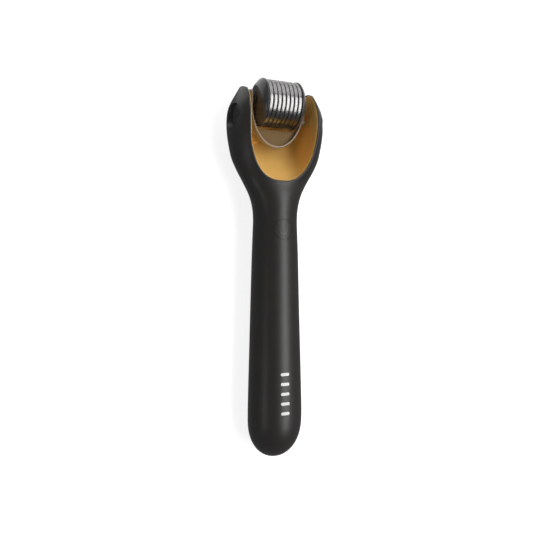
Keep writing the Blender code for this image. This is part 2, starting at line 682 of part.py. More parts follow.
def make_release_buttons(button_finish, spring_finish):
    place = world_point(0, RELEASE_STATION, RELEASE_HEIGHT)
    for side_name, sign in (("left", -1), ("right", 1)):
        face = RELEASE_FACE
        under = face - RELEASE_HEAD
        profile = (
            (0, RELEASE_NOSE_END),
            (NOSE_RADIUS, RELEASE_NOSE_END),
            (NOSE_RADIUS, under),
            (RELEASE_RADIUS, under),
            (RELEASE_RADIUS, face - 0.2),
            (RELEASE_RADIUS - 0.3, face),
            (2.2, face - 0.2),
            (0, face - 0.35),
        )
        profile = [(radius, sign * along) for radius, along in profile]
        button = turned(side_name + "_release_button", profile, "X", 32)
        add_object(side_name + "_release_button", button, button_finish, place)
        low = sign * (RELEASE_BORE_FLOOR + SEAM + SPRING_WIRE)
        high = sign * (under - SEAM - SPRING_WIRE)
        coil = coil_mesh("spring", SPRING_RADIUS, SPRING_WIRE, low, high, SPRING_TURNS)
        add_object(side_name + "_button_spring", coil, spring_finish, place)


# ---------------------------------------------------------------- assembly

clear_scene()

handle_frame = bpy.data.objects.new("handle_frame", None)
bpy.context.scene.collection.objects.link(handle_frame)
handle_frame.location = world_point(0, STACK_STATION, HANDLE_HEIGHT)

roller_axis = bpy.data.objects.new("roller_axis", None)
bpy.context.scene.collection.objects.link(roller_axis)
roller_axis.location = world_point(0, ROLLER_STATION, ROLLER_HEIGHT)

SOFT_BLACK = material("soft_black", (0.028, 0.026, 0.024), 0.55)
BUTTON_BLACK = material("button_black", (0.03, 0.028, 0.026), 0.42)
GOLD = material("gold_plating", (0.75, 0.48, 0.18), 0.45, 0.6)
CRADLE_GOLD = material("cradle_gold", (0.26, 0.2, 0.13), 0.45, 0.4)
STEEL = material("polished_steel", (0.42, 0.415, 0.41), 0.25, 1.0)
CAP_BLACK = material("cap_black", (0.035, 0.034, 0.033), 0.25)
WHITE_PLASTIC = material("white_plastic", (0.75, 0.74, 0.71), 0.45)
GREY_PLASTIC = material("grey_plastic", (0.2, 0.2, 0.21), 0.5)
BOARD_GREEN = material("board_green", (0.02, 0.16, 0.07), 0.4)
CHIP_BLACK = material("chip_black", (0.02, 0.02, 0.02), 0.45)
RUBBER = material("grey_rubber", (0.08, 0.08, 0.085), 0.75)
BATTERY_WRAP = material("battery_wrap", (0.05, 0.18, 0.42), 0.35)
NICKEL = material("nickel", (0.6, 0.58, 0.52), 0.3, 1.0)

make_outer_shell(SOFT_BLACK)
make_cup_liner(GOLD)
make_liner_screws(STEEL)
make_chassis(GREY_PLASTIC)
make_battery(BATTERY_WRAP, NICKEL)
make_board(BOARD_GREEN, CHIP_BLACK, STEEL)
make_power_button(SOFT_BLACK, WHITE_PLASTIC)
make_motor(STEEL, RUBBER, STEEL, NICKEL)
make_charge_contacts(GOLD)
make_roller(STEEL, CAP_BLACK)
make_cradle(CRADLE_GOLD, STEEL)
make_release_buttons(BUTTON_BLACK, STEEL)
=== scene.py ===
"""Looks of the battery-driven derma roller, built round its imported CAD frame.

Lengths of the object are millimetres until MM turns them into metres; the stage and its lights are in metres.
A "station" is a distance along the handle from its lower end. The shell, liner, buttons, cradle, axle, discs
and end caps are replaced by finer meshes close to the same shape. Every other piece keeps its CAD mesh and
gets a better material.
"""

import json
import math

import bmesh
import bpy
from mathutils import Matrix, Vector


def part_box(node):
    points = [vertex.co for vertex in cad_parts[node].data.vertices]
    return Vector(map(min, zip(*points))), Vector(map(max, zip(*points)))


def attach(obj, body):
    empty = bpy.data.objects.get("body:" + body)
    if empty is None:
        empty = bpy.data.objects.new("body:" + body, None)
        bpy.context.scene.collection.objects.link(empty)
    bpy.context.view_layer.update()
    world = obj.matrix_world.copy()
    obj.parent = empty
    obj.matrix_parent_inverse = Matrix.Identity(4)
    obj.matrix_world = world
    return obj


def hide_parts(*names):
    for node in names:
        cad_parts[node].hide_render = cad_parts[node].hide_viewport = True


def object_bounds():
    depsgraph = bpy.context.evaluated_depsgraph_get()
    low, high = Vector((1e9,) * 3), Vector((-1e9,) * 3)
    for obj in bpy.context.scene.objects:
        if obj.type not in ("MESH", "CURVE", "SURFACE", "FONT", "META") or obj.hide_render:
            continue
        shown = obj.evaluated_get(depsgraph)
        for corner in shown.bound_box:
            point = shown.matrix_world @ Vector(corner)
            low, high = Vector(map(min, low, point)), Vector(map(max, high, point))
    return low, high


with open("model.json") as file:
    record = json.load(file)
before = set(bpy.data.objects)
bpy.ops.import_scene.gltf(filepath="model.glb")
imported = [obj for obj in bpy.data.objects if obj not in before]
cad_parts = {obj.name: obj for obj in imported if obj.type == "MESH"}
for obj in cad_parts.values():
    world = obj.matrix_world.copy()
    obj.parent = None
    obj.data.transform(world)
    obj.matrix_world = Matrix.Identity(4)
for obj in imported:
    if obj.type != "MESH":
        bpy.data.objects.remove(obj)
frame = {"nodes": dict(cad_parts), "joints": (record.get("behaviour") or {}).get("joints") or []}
CAD_LOW, CAD_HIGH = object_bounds()

MM = 0.001
SEAM = 0.3
CUT_SHARP = 38


# ---------------------------------------------------------------- sizes, read from the frame

def middle(node):
    low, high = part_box(node)
    return (low + high) / 2 / MM


def joint_place(name):
    joint = next(j for j in frame["joints"] if j["name"] == name)
    return Vector(joint["pos_m"]) / MM


LENGTH = (CAD_HIGH.y - CAD_LOW.y) / MM
HALF = LENGTH / 2
AXLE = joint_place("drum_spin")
RELEASE = middle("left_release_button")
RELEASE_FACE = -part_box("left_release_button")[0].x / MM
POWER = middle("power_button")
CAP_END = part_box("right_end_cap")[1].x / MM
TIP_RADIUS = (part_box("needle_disc_1")[1].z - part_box("needle_disc_1")[0].z) / 2 / MM

# Outer shell: station, half width, front depth, back depth, height of the axis
END_ROUNDING = 16.0
END_POWER = 2.1
HEAD_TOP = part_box("outer_shell")[1].y / MM + HALF
SHELL_STATIONS = (
    (0.0, 11.5, 11.5, 11.0, 9.2),
    (6.0, 11.5, 11.5, 11.2, 10.2),
    (14.0, 11.5, 11.5, 11.55, 11.1),
    (20.0, 11.55, 11.5, 11.75, 11.45),
    (30.0, 11.35, 11.3, 11.65, 11.5),
    (44.0, 11.0, 11.0, 11.1, 11.5),
    (58.0, 10.65, 10.65, 10.7, 11.5),
    (72.0, 10.3, 10.3, 10.3, 11.55),
    (86.0, 9.95, 9.95, 9.9, 11.7),
    (96.0, 9.6, 9.6, 9.6, 11.75),
    (102.0, 9.45, 9.4, 9.5, 11.85),
    (107.0, 9.9, 9.5, 10.0, 12.0),
    (112.0, 11.35, 9.4, 10.9, 12.1),
    (117.2, 14.1, 8.8, 11.6, 12.1),
    (122.5, 17.2, 11.0, 12.1, 12.1),
    (127.0, 19.3, 12.8, 12.15, 12.0),
    (131.5, 20.4, 14.3, 12.15, 11.9),
    (137.0, 21.25, 16.0, 12.15, 11.8),
    (142.0, 21.45, 16.6, 12.15, 11.8),
    (147.0, 20.85, 16.4, 12.15, 11.8),
    (150.0, 19.6, 15.5, 12.05, 11.8),
    (153.0, 18.0, 14.0, 11.7, 11.9),
    (155.3, 16.7, 12.6, 11.2, 12.0),
    (HEAD_TOP, 16.1, 12.0, 10.9, 12.1),
)

# Mouth of the cup
MOUTH_HALF_WIDTH = 15.6
MOUTH_START = 116.6
MOUTH_WIDEST = 142.0
MOUTH_POWER = 2.35
MOUTH_NARROWING = 0.8
EAR_DROP = 10.5
RIM_WIDTH = 0.6
LINER_WALL = 0.8
LINER_END = HEAD_TOP - 1.2
LIP_RECESS = 0.45
LIP_INSET = 0.3
SCOOP_DEEPEST = 146.0
SCOOP_POWER = 2.6
SCOOP_FLOOR = 2.6
SCOOP_LIP_RISE = 16.6
SCOOP_END_RISE = 0.9
SCOOP_END_LENGTH = 8.0
SECTION_POWER = 2.3
SECTION_SQUARING = 2.2
SECTION_EASING = 0.9
SHELL_RIM_DOME = 0.07
LINER_RIM_DOME = 0.06
END_DOME = 0.3
LINER_GAP = 0.12
AROUND = 96
MOUTH_STEPS = 44
EAR_STEPS = 14
NECK_STATION = 100

# Holes in the casing
BORE_RADIUS = 4.1
BORE_FLOOR = 15.2
NOSE_HOLE_RADIUS = 2.2
LINER_HOLE_RADIUS = 2.0
GROOVE_RADIUS = 4.23
SCREW_HOLE_RADIUS = 1.1

# Power button and marks on the handle
POWER_CAP_RADIUS = 4.2
POWER_CAP_DEEP = 0.02
MARK_LIFT = 0.03
MARK_FOOT = -0.05
BAR_COUNT = 5
BAR_MIDDLE = 29.3
BAR_PITCH = 4.0
BAR_HALF_WIDTH = 1.9
BAR_HALF_HEIGHT = 0.62

# Needle roller; a needle's two rings are its distance from the axle and half its thickness there
NEEDLES = 24
DISC_BORE = 5.9
DISC_HALF = 0.77
DISC_RADIUS = 9.7
HUB_RADIUS = 8.9
NEEDLE_RINGS = ((9.6, 0.15), (9.85, 0.09))
CAP_INNER_FACE = 7.47
CAP_RADIUS = 10.0
CAP_ROUNDING_START = 7.8
CAP_POWER = 1.35
CAP_END_RADIUS = 6.5
CAP_BULGE = 0.22
CAP_RING_RADIUS = 3.1
CAP_SEAT = 9.1
AXLE_HOLE_RADIUS = 1.55

# Cradle, measured from the axle
CRADLE_HALF_WIDTH = 12.0
CRADLE_REACH = 17.8
CRADLE_TIP = 5.1
CRADLE_ARM_HALF_HEIGHT = 2.4
CRADLE_TOP_FALL = 2.7
CRADLE_TOP_POWER = 1.35
CRADLE_UNDER_FALL = 1.25
CRADLE_TIP_HEIGHT = -0.1
CRADLE_HALF_WALL = 0.45
CRADLE_CORNER = 0.42
LUG_DROP = 0.6
WEB_TOP = -1.85
WEB_THICKNESS = 0.8
WEB_EDGE = 0.1
WEB_CLEARANCE = 0.35

# Release buttons; ends and undersides are distances from the object's middle
BUTTON_RADIUS = 3.9
BUTTON_UNDERSIDE = 18.0
DISH_RADIUS = 3.35
DISH_DEPTH = 0.45
STEM_RADIUS = 1.9
STEM_END = 15.6
NOSE_END = 14.5


def place(x, station, height):
    """A point of the object, in metres."""
    return Vector((x, station - HALF, height)) * MM


# ---------------------------------------------------------------- mesh helpers

def linked(name, data):
    obj = bpy.data.objects.new(name, data)
    bpy.context.scene.collection.objects.link(obj)
    return obj


def add_piece(name, mesh, finish, body, *nodes):
    """Adds a piece that moves with a body and stands in for the named CAD nodes."""
    obj = linked(name, mesh)
    mesh.materials.append(finish)
    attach(obj, body)
    if nodes:
        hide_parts(*nodes)
    return obj


def finished_mesh(bm, name, sharp=40.0, weld=5e-7):
    """The mesh with its seams welded, faces outwards, and edges sharper than an angle kept sharp."""
    bmesh.ops.remove_doubles(bm, verts=bm.verts, dist=weld)
    bmesh.ops.dissolve_degenerate(bm, dist=weld, edges=bm.edges)
    bmesh.ops.recalc_face_normals(bm, faces=bm.faces)
    mesh = bpy.data.meshes.new(name)
    bm.to_mesh(mesh)
    bm.free()
    mesh.shade_smooth()
    mesh.set_sharp_from_angle(angle=math.radians(sharp))
    return mesh


def quads(bm, low, high):
    """A strip of faces between two rows of vertices."""
    for i in range(len(low) - 1):
        bm.faces.new((low[i], low[i + 1], high[i + 1], high[i]))


def grid(bm, rows):
    """A skin through rows of points; returns the rows of vertices."""
    rings = [[bm.verts.new(point) for point in row] for row in rows]
    for low, high in zip(rings, rings[1:]):
        quads(bm, low, high)
    return rings


def circle(radius, segments):
    """Points round a circle; the last is the first again."""
    angles = [math.tau * (i % segments) / segments for i in range(segments + 1)]
    return [(radius * math.cos(angle), radius * math.sin(angle)) for angle in angles]


def turned_points(profile, segments):
    """Rings of points round the X axis, in metres, from (radius, along) pairs."""
    return [[Vector((along, y, z)) * MM for y, z in circle(radius, segments)] for radius, along in profile]


def turned(name, profile, segments=96, sharp=40.0):
    """A solid turned round the X axis; a profile that starts off the axis is a ring's and is closed."""
    bm = bmesh.new()
    if profile[0][0] > 0:
        profile = list(profile) + [profile[0]]
    grid(bm, turned_points(profile, segments))
    return finished_mesh(bm, name, sharp)


def move_mesh(mesh, point):
    mesh.transform(Matrix.Translation(Vector(point) * MM))
    return mesh


def cut(obj, shape, point):
    """Cuts a shape, moved to a point, out of the object's mesh for good."""
    cutter = linked("cutter", move_mesh(shape, point))
    step = obj.modifiers.new("cut", "BOOLEAN")
    step.object = cutter
    step.solver = "EXACT"
    graph = bpy.context.evaluated_depsgraph_get()
    mesh = bpy.data.meshes.new_from_object(obj.evaluated_get(graph))
    obj.modifiers.clear()
    obj.data = mesh
    bpy.data.objects.remove(cutter)


def upright(mesh):
    """Turns a mesh made round the X axis so that it stands along Z."""
    mesh.transform(Matrix.Rotation(-math.pi / 2, 4, "Y"))
    return mesh


def smooth_again(obj):
    """Smooths a piece after its cuts."""
    obj.data.shade_smooth()
    obj.data.set_sharp_from_angle(angle=math.radians(CUT_SHARP))


def rounded(profile, radius, steps=4):
    """The profile with each corner between its two ends rounded."""
    result = [profile[0]]
    for before, corner, after in zip(profile, profile[1:], profile[2:]):
        here = Vector(corner)
        back, ahead = Vector(before) - here, Vector(after) - here
        reach = min(radius, back.length * 0.45, ahead.length * 0.45)
        start = here + back.normalized() * reach
        end = here + ahead.normalized() * reach
        for i in range(steps + 1):
            t = i / steps
            point = start * (1 - t) ** 2 + here * 2 * t * (1 - t) + end * t**2
            result.append((point.x, point.y))
    return result + [profile[-1]]


# ---------------------------------------------------------------- shapes of the shell and the cup

def shell_at(station):
    """Half width, front depth, back depth and axis height of the shell, smooth between its stations."""
    rows = SHELL_STATIONS
    station = min(max(station, rows[0][0]), rows[-1][0])
    i = max(k for k in range(len(rows) - 1) if rows[k][0] <= station)
    before, low, high, after = rows[max(i - 1, 0)], rows[i], rows[i + 1], rows[min(i + 2, len(rows) - 1)]
    step = high[0] - low[0]
    t = (station - low[0]) / step
    values = []
    for column in range(1, 5):
        leave = (high[column] - before[column]) / (high[0] - before[0]) * step
        arrive = (after[column] - low[column]) / (after[0] - low[0]) * step
        values.append(
            (2 * t**3 - 3 * t**2 + 1) * low[column]
            + (t**3 - 2 * t**2 + t) * leave
            + (3 * t**2 - 2 * t**3) * high[column]
            + (t**3 - t**2) * arrive
        )
    if station < END_ROUNDING:
        left = max(1 - (1 - station / END_ROUNDING) ** END_POWER, 0) ** (1 / END_POWER)
        values[:3] = [value * left for value in values[:3]]
    return values


def front_height(x, station):
    width, front, _, axis = shell_at(station)
    return axis + front * math.sqrt(max(1 - (x / width) ** 2, 0.0))


def mouth_half_width(station, inset=0.0):
    """Half width of the cup's outline, seen from the front."""
    start = MOUTH_START + inset
    t = min(max((MOUTH_WIDEST - station) / (MOUTH_WIDEST - start), 0.0), 1.0)
    beyond = min(max((station - MOUTH_WIDEST) / (HEAD_TOP - MOUTH_WIDEST), 0.0), 1.0)
    widest = MOUTH_HALF_WIDTH - inset - MOUTH_NARROWING * beyond**3
    return widest * (1 - t**MOUTH_POWER) ** (1 / MOUTH_POWER)


def rim_height(station):
    """Height of the cup's rim, as seen from the side."""
    on_shell = min(station, MOUTH_WIDEST)
    height = front_height(mouth_half_width(on_shell), on_shell)
    if station > MOUTH_WIDEST:
        t = min((station - MOUTH_WIDEST) / (HEAD_TOP - MOUTH_WIDEST), 1.0)
        height -= EAR_DROP * (1 - math.sqrt(1 - t**2))
    return height


def scoop_floor(station):
    """Height of the cup's inner floor along its middle."""
    start = MOUTH_START + RIM_WIDTH
    t = min(max((station - start) / (SCOOP_DEEPEST - start), 0.0), 1.0)
    near_end = max((station - HEAD_TOP + SCOOP_END_LENGTH) / SCOOP_END_LENGTH, 0.0)
    rise = SCOOP_END_RISE * near_end**2
    return SCOOP_FLOOR + SCOOP_LIP_RISE * (1 - t) ** SCOOP_POWER + rise


def cup_section(station, inset, drop, lower=0.0):
    """Points of a U-shaped section of the cup, from its right edge under to its left edge."""
    width = mouth_half_width(station, RIM_WIDTH + inset)
    top = rim_height(station) - lower
    depth = max(top - scoop_floor(station) + drop, 0.2)
    t = min(max((station - MOUTH_START) / (MOUTH_WIDEST - MOUTH_START), 0.0), 1.0)
    beyond = max((station - MOUTH_WIDEST) / (HEAD_TOP - MOUTH_WIDEST), 0.0)
    power = SECTION_POWER + SECTION_SQUARING * t - SECTION_EASING * beyond**3
    points = []
    for i in range(AROUND + 1):
        angle = math.pi * i / AROUND
        cosine = math.cos(angle)
        across = math.copysign(abs(cosine) ** (2 / power), cosine)
        under = math.sin(angle) ** (2 / power) if 0 < i < AROUND else 0.0
        points.append(place(width * across, station, top - depth * under))
    return points


def mouth_stations(inset, end):
    """Stations spaced so that the mouth's outline turns evenly from its lowest point to its widest."""
    start = MOUTH_START + inset
    stations = []
    for k in range(MOUTH_STEPS + 1):
        angle = math.pi / 2 * k / MOUTH_STEPS
        stations.append(MOUTH_WIDEST - (MOUTH_WIDEST - start) * math.cos(angle) ** (2 / MOUTH_POWER))
    stations[-1] = MOUTH_WIDEST
    for k in range(1, EAR_STEPS + 1):
        stations.append(MOUTH_WIDEST + (end - MOUTH_WIDEST) * math.sin(math.pi / 2 * k / EAR_STEPS))
    return stations


def outer_ring(station, rim=None):
    """The shell's section from the right edge of the cut at rim height, under, to the left edge."""
    width, front, back, axis = shell_at(station)
    lift = 1.0 if rim is None else min(max((rim - axis) / front, -1.0), 1.0)
    start = math.asin(lift)
    sweep = math.pi + 2 * start
    points = []
    for i in range(AROUND + 1):
        angle = start - sweep * i / AROUND
        depth = front if math.sin(angle) > 0 else back
        z = axis + depth * math.sin(angle)
        points.append(place(width * math.cos(angle), station, max(z, 0.0)))
    return points


def rim_band(bm, outer, inner, dome, steps=5):
    """A domed band along the mouth's edge between two lists of vertices."""
    rows = [outer]
    for i in range(1, steps):
        t = i / steps
        row = []
        for a, b in zip(outer, inner):
            lift = Vector((0, 0, dome * MM * math.sqrt(1 - (2 * t - 1) ** 2)))
            row.append(bm.verts.new(a.co.lerp(b.co, t) + lift))
        rows.append(row)
    rows.append(inner)
    for low, high in zip(rows, rows[1:]):
        quads(bm, low, high)
    return rows


def cup_body(bm, outer, inner, dome, end_dome):
    """Joins two sets of cup rings along both rims and across the open end at the head's top."""
    right = rim_band(bm, [ring[0] for ring in outer], [ring[0] for ring in inner], dome)
    left = rim_band(bm, [ring[-1] for ring in outer], [ring[-1] for ring in inner], dome)
    rows = [outer[-1]]
    steps = len(right) - 1
    for i in range(1, steps):
        t = i / steps
        row = [right[i][-1]]
        for a, b in zip(outer[-1][1:-1], inner[-1][1:-1]):
            lift = Vector((0, end_dome * MM * math.sqrt(1 - (2 * t - 1) ** 2), 0))
            row.append(bm.verts.new(a.co.lerp(b.co, t) + lift))
        rows.append(row + [left[i][-1]])
    rows.append(inner[-1])
    for low, high in zip(rows, rows[1:]):
        quads(bm, low, high)


# ---------------------------------------------------------------- casing

def make_shell(finish):
    bm = bmesh.new()
    handle = [END_ROUNDING * (1 - math.cos(math.pi / 2 * k / 22)) for k in range(23)]
    handle += [END_ROUNDING + (NECK_STATION - END_ROUNDING) * k / 34 for k in range(1, 35)]
    handle += [NECK_STATION + (MOUTH_START - NECK_STATION) * k / 16 for k in range(1, 16)]
    head = mouth_stations(0.0, HEAD_TOP)
    rings = [outer_ring(s) for s in handle]
    rings += [outer_ring(s, rim_height(s)) for s in head]
    made = grid(bm, rings)
    pocket_stations = mouth_stations(RIM_WIDTH, HEAD_TOP)
    pocket = grid(bm, [cup_section(s, 0.0, LINER_WALL + SEAM) for s in pocket_stations])
    cup_body(bm, made[len(handle):], pocket, SHELL_RIM_DOME, END_DOME)
    mesh = finished_mesh(bm, "soft_touch_shell")
    shell = add_piece("soft_touch_shell", mesh, finish, "handle", "outer_shell")

    groove = turned("groove", ((0, 15), (GROOVE_RADIUS, 15), (GROOVE_RADIUS, 25), (0, 25)), 64)
    cut(shell, upright(groove), (POWER.x, POWER.y, 0))
    radius = BORE_RADIUS
    bore = [(0, 12.5), (NOSE_HOLE_RADIUS, 12.5), (NOSE_HOLE_RADIUS, BORE_FLOOR), (radius, BORE_FLOOR)]
    bore += [(radius, 18.6), (radius + 0.25, 19.4), (radius + 0.9, 20.4), (radius + 2.4, 22.5), (0, 22.5)]
    for sign in (-1, 1):
        mesh = turned("bore", [(r, sign * x) for r, x in bore], 72)
        cut(shell, mesh, (0, RELEASE.y, RELEASE.z))
    well = rounded(((0, 0.7), (1.6, 0.7), (1.6, 0.1), (2.2, -0.5), (0, -0.5)), 0.2)
    for node in ("charge_contact_positive", "charge_contact_negative"):
        cut(shell, upright(turned("well", well, 40)), (0, middle(node).y, 0))
    smooth_again(shell)
    return shell


def make_liner(finish):
    bm = bmesh.new()
    outer_stations = mouth_stations(RIM_WIDTH + LINER_GAP, LINER_END)
    inner_stations = mouth_stations(RIM_WIDTH + LIP_INSET, LINER_END)
    outer = grid(bm, [cup_section(s, LINER_GAP, LINER_WALL + 0.1, LIP_RECESS) for s in outer_stations])
    inner = grid(bm, [cup_section(s, LIP_INSET, 0.0, LIP_RECESS) for s in inner_stations])
    cup_body(bm, outer, inner, LINER_RIM_DOME, END_DOME)
    liner = add_piece("gold_cup_liner", finished_mesh(bm, "gold_cup_liner"), finish, "handle", "cup_liner")
    radius = LINER_HOLE_RADIUS
    for sign in (-1, 1):
        hole = turned("hole", ((0, sign * 8), (radius, sign * 8), (radius, sign * 20), (0, sign * 20)), 48)
        cut(liner, hole, (0, RELEASE.y, RELEASE.z))
    for node in ("left_liner_screw", "right_liner_screw"):
        point = middle(node)
        hole = turned("hole", ((0, 0), (SCREW_HOLE_RADIUS, 0), (SCREW_HOLE_RADIUS, 8), (0, 8)), 32)
        cut(liner, upright(hole), (point.x, point.y, 0))
    smooth_again(liner)
    return liner


def on_front(x, station, lift):
    """A point on the handle's front surface, raised by lift."""
    return place(x, station, front_height(x, station) + lift)


def make_power_cap(finish):
    """A round cap whose top follows the handle's surface, with its edge rounded."""
    station = POWER.y + HALF
    segments = 72
    rows = []
    edge = [(POWER_CAP_RADIUS - 0.12, 0), (POWER_CAP_RADIUS - 0.04, 0.02), (POWER_CAP_RADIUS, 0.08)]
    for r, drop in [(r, 0) for r in (0.0, 1.2, 2.4, 3.3, 3.8)] + edge:
        lift = -drop - POWER_CAP_DEEP
        rows.append([on_front(x, station + y, lift) for x, y in circle(r, segments)])
    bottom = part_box("power_button")[0].z / MM + 1.2
    for r in (POWER_CAP_RADIUS, 0.0):
        rows.append([place(x, station + y, bottom) for x, y in circle(r, segments)])
    bm = bmesh.new()
    grid(bm, rows)
    return add_piece("power_cap", finished_mesh(bm, "power_cap"), finish, "power_press", "power_button")


def surface_bar(name, station, half_width, half_height, body, finish):
    """A thin raised bar with rounded ends, following the handle's front."""
    columns, rows_across = 20, 6
    reach = half_width - half_height
    bm = bmesh.new()
    top, low = [], []
    for i in range(columns + 1):
        angle = math.pi * i / columns
        across = -half_width * math.cos(angle)
        beyond = max(abs(across) - reach, 0.0)
        tall = math.sqrt(max(half_height**2 - beyond**2, 0.0))
        offsets = [tall * (2 * k / rows_across - 1) for k in range(rows_across + 1)]
        top.append([on_front(across, station + offset, MARK_LIFT) for offset in offsets])
        low.append([on_front(across, station + offset, MARK_FOOT) for offset in offsets])
    top_rings = grid(bm, top)
    low_rings = grid(bm, low)
    for edge in (0, -1):
        quads(bm, [ring[edge] for ring in top_rings], [ring[edge] for ring in low_rings])
    return add_piece(name, finished_mesh(bm, name, 30, 1e-6), finish, body)


def make_power_mark(finish):
    """A power symbol: an open ring, and two round dots in a row for its stroke."""
    station = POWER.y + HALF
    radius = 1.75
    half_width = 0.16
    start, sweep = math.radians(128), math.radians(284)
    angles = [start + sweep * i / 40 for i in range(41)]
    bm = bmesh.new()
    rows = []
    inner, outer = radius - half_width, radius + half_width
    for r, lift in ((inner, MARK_FOOT), (inner, MARK_LIFT), (outer, MARK_LIFT), (outer, MARK_FOOT)):
        rows.append([on_front(r * math.cos(a), station + r * math.sin(a), lift) for a in angles])
    rings = grid(bm, rows + [rows[0]])
    for end in (0, -1):
        bm.faces.new([ring[end] for ring in rings[:4]])
    add_piece("power_mark_ring", finished_mesh(bm, "power_mark_ring", 30), finish, "power_press")
    first_dot, dot_pitch, half_height = 0.75, 0.8, 0.159
    for i in range(2):
        dot = station + first_dot + dot_pitch * i
        surface_bar("power_mark_stroke_%d" % (i + 1), dot, half_width, half_height, "power_press", finish)


def make_size_bars(finish):
    """Plain rounded bars where the handle carries printing."""
    for i in range(BAR_COUNT):
        station = BAR_MIDDLE + (i - (BAR_COUNT - 1) / 2) * BAR_PITCH
        surface_bar("size_bar_%d" % (i + 1), station, BAR_HALF_WIDTH, BAR_HALF_HEIGHT, "handle", finish)


# ---------------------------------------------------------------- needle roller

def make_disc(node, finish):
    """A thin steel disc with a crowned rim, fine needles and a thicker hub.

    A disc whose box is shorter than the first disc's has its needles turned by half their spacing.
    """
    low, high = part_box(node)
    x = (low.x + high.x) / 2 / MM
    half_hub = (high.x - low.x) / 2 / MM
    needle_on_top = abs((high.z - low.z) / MM - 2 * TIP_RADIUS) < 0.05
    turn = 0.0 if needle_on_top else math.pi / NEEDLES
    half, hub = DISC_HALF, HUB_RADIUS
    angles = [math.radians(-90 + 15 * i) for i in range(13)]
    crown = [(DISC_RADIUS - 0.1 * (1 - math.cos(angle)), half * math.sin(angle)) for angle in angles]
    profile = [(DISC_BORE, -half_hub), (hub, -half_hub), (hub + 0.1, -half)] + crown
    profile += [(hub + 0.1, half), (hub, half_hub), (DISC_BORE, half_hub)]
    bm = bmesh.new()
    grid(bm, turned_points(profile + [profile[0]], 96))
    bmesh.ops.remove_doubles(bm, verts=bm.verts, dist=5e-7)
    for i in range(NEEDLES):
        angle = math.tau * i / NEEDLES + turn
        out = Vector((0, math.cos(angle), math.sin(angle)))
        along = Vector((0, -math.sin(angle), math.cos(angle)))
        side = Vector((1, 0, 0))
        rings = []
        for r, thick in NEEDLE_RINGS:
            corners = [out * r + way * thick for way in (along, side, -along, -side)]
            rings.append([bm.verts.new(corner * MM) for corner in corners])
        tip = bm.verts.new(out * TIP_RADIUS * MM)
        bm.faces.new(rings[0])
        for k in range(4):
            n = (k + 1) % 4
            bm.faces.new((rings[0][k], rings[0][n], rings[1][n], rings[1][k]))
            bm.faces.new((rings[1][k], rings[1][n], tip))
    mesh = finished_mesh(bm, node + "_fine", 35, 1e-8)
    move_mesh(mesh, (x, AXLE.y, AXLE.z))
    return add_piece(node + "_fine", mesh, finish, "roller", node)


def make_cap(side, sign, finish):
    """A rounded end cap of the drum, with a slight bulge out to the ring round the axle."""
    start = CAP_ROUNDING_START
    inner = CAP_INNER_FACE
    profile = [(DISC_BORE, inner), (CAP_RADIUS - 0.1, inner), (CAP_RADIUS, inner + 0.08)]
    for i in range(17):
        angle = math.pi / 2 * i / 16
        out = max(math.cos(angle), 0.0) ** (2 / CAP_POWER)
        along = start + (CAP_END - start) * math.sin(angle) ** (2 / CAP_POWER)
        profile.append((CAP_END_RADIUS + (CAP_RADIUS - CAP_END_RADIUS) * out, along))
    for i in range(1, 7):
        r = CAP_END_RADIUS + (CAP_RING_RADIUS - CAP_END_RADIUS) * i / 6
        profile.append((r, CAP_END + CAP_BULGE * math.sin(math.pi / 2 * i / 6)))
    profile += [(CAP_RING_RADIUS, CAP_END), (AXLE_HOLE_RADIUS, CAP_END)]
    profile += [(AXLE_HOLE_RADIUS, CAP_SEAT), (DISC_BORE, CAP_SEAT)]
    mesh = turned(side + "_cap", [(r, sign * x) for r, x in profile], 128, 50)
    move_mesh(mesh, (0, AXLE.y, AXLE.z))
    return add_piece(side + "_roller_cap", mesh, finish, "roller", side + "_end_cap")


# ---------------------------------------------------------------- cradle

def cradle_edges(y):
    """Lower and upper edge of the cradle's wall, above the axle, at this distance along the handle."""
    t = min(max(-y / CRADLE_REACH, 0.0), 1.0)
    high = CRADLE_ARM_HALF_HEIGHT - CRADLE_TOP_FALL * (1 - (1 - t) ** CRADLE_TOP_POWER)
    low = -CRADLE_ARM_HALF_HEIGHT - CRADLE_UNDER_FALL * t
    if y > 0:
        left = math.sqrt(max(1 - (y / CRADLE_TIP) ** 4, 0.0))
        high = CRADLE_TIP_HEIGHT + (CRADLE_ARM_HALF_HEIGHT - CRADLE_TIP_HEIGHT) * left
        low = CRADLE_TIP_HEIGHT - (CRADLE_ARM_HALF_HEIGHT + CRADLE_TIP_HEIGHT) * left
    return low, high


def cradle_path():
    """The U of the cradle seen from the front: an arm, half an ellipse and the other arm."""
    steps = 72
    arm_steps = 12
    rise = [CRADLE_TIP * i / arm_steps for i in range(1, arm_steps + 1)]
    path = [(CRADLE_HALF_WIDTH, y) for y in reversed(rise)]
    for i in range(steps + 1):
        angle = math.pi * i / steps
        path.append((CRADLE_HALF_WIDTH * math.cos(angle), -CRADLE_REACH * math.sin(angle)))
    return path + [(-CRADLE_HALF_WIDTH, y) for y in rise]


def band_section(point, normal, low, high):
    """A rectangle with rounded corners across the cradle's wall."""
    half = CRADLE_HALF_WALL
    room = min(CRADLE_CORNER, (high - low) / 2)
    ring = []
    for side, top, first in ((1, True, 0), (-1, True, 90), (-1, False, 180), (1, False, 270)):
        centre = side * (half - room)
        middle_height = high - room if top else low + room
        for k in range(4):
            turn = math.radians(first + 30 * k)
            u = centre + room * math.cos(turn)
            z = middle_height + room * math.sin(turn)
            ring.append(Vector((point[0] + normal.x * u, point[1] + normal.y * u, z)) * MM)
    return ring + [ring[0]]


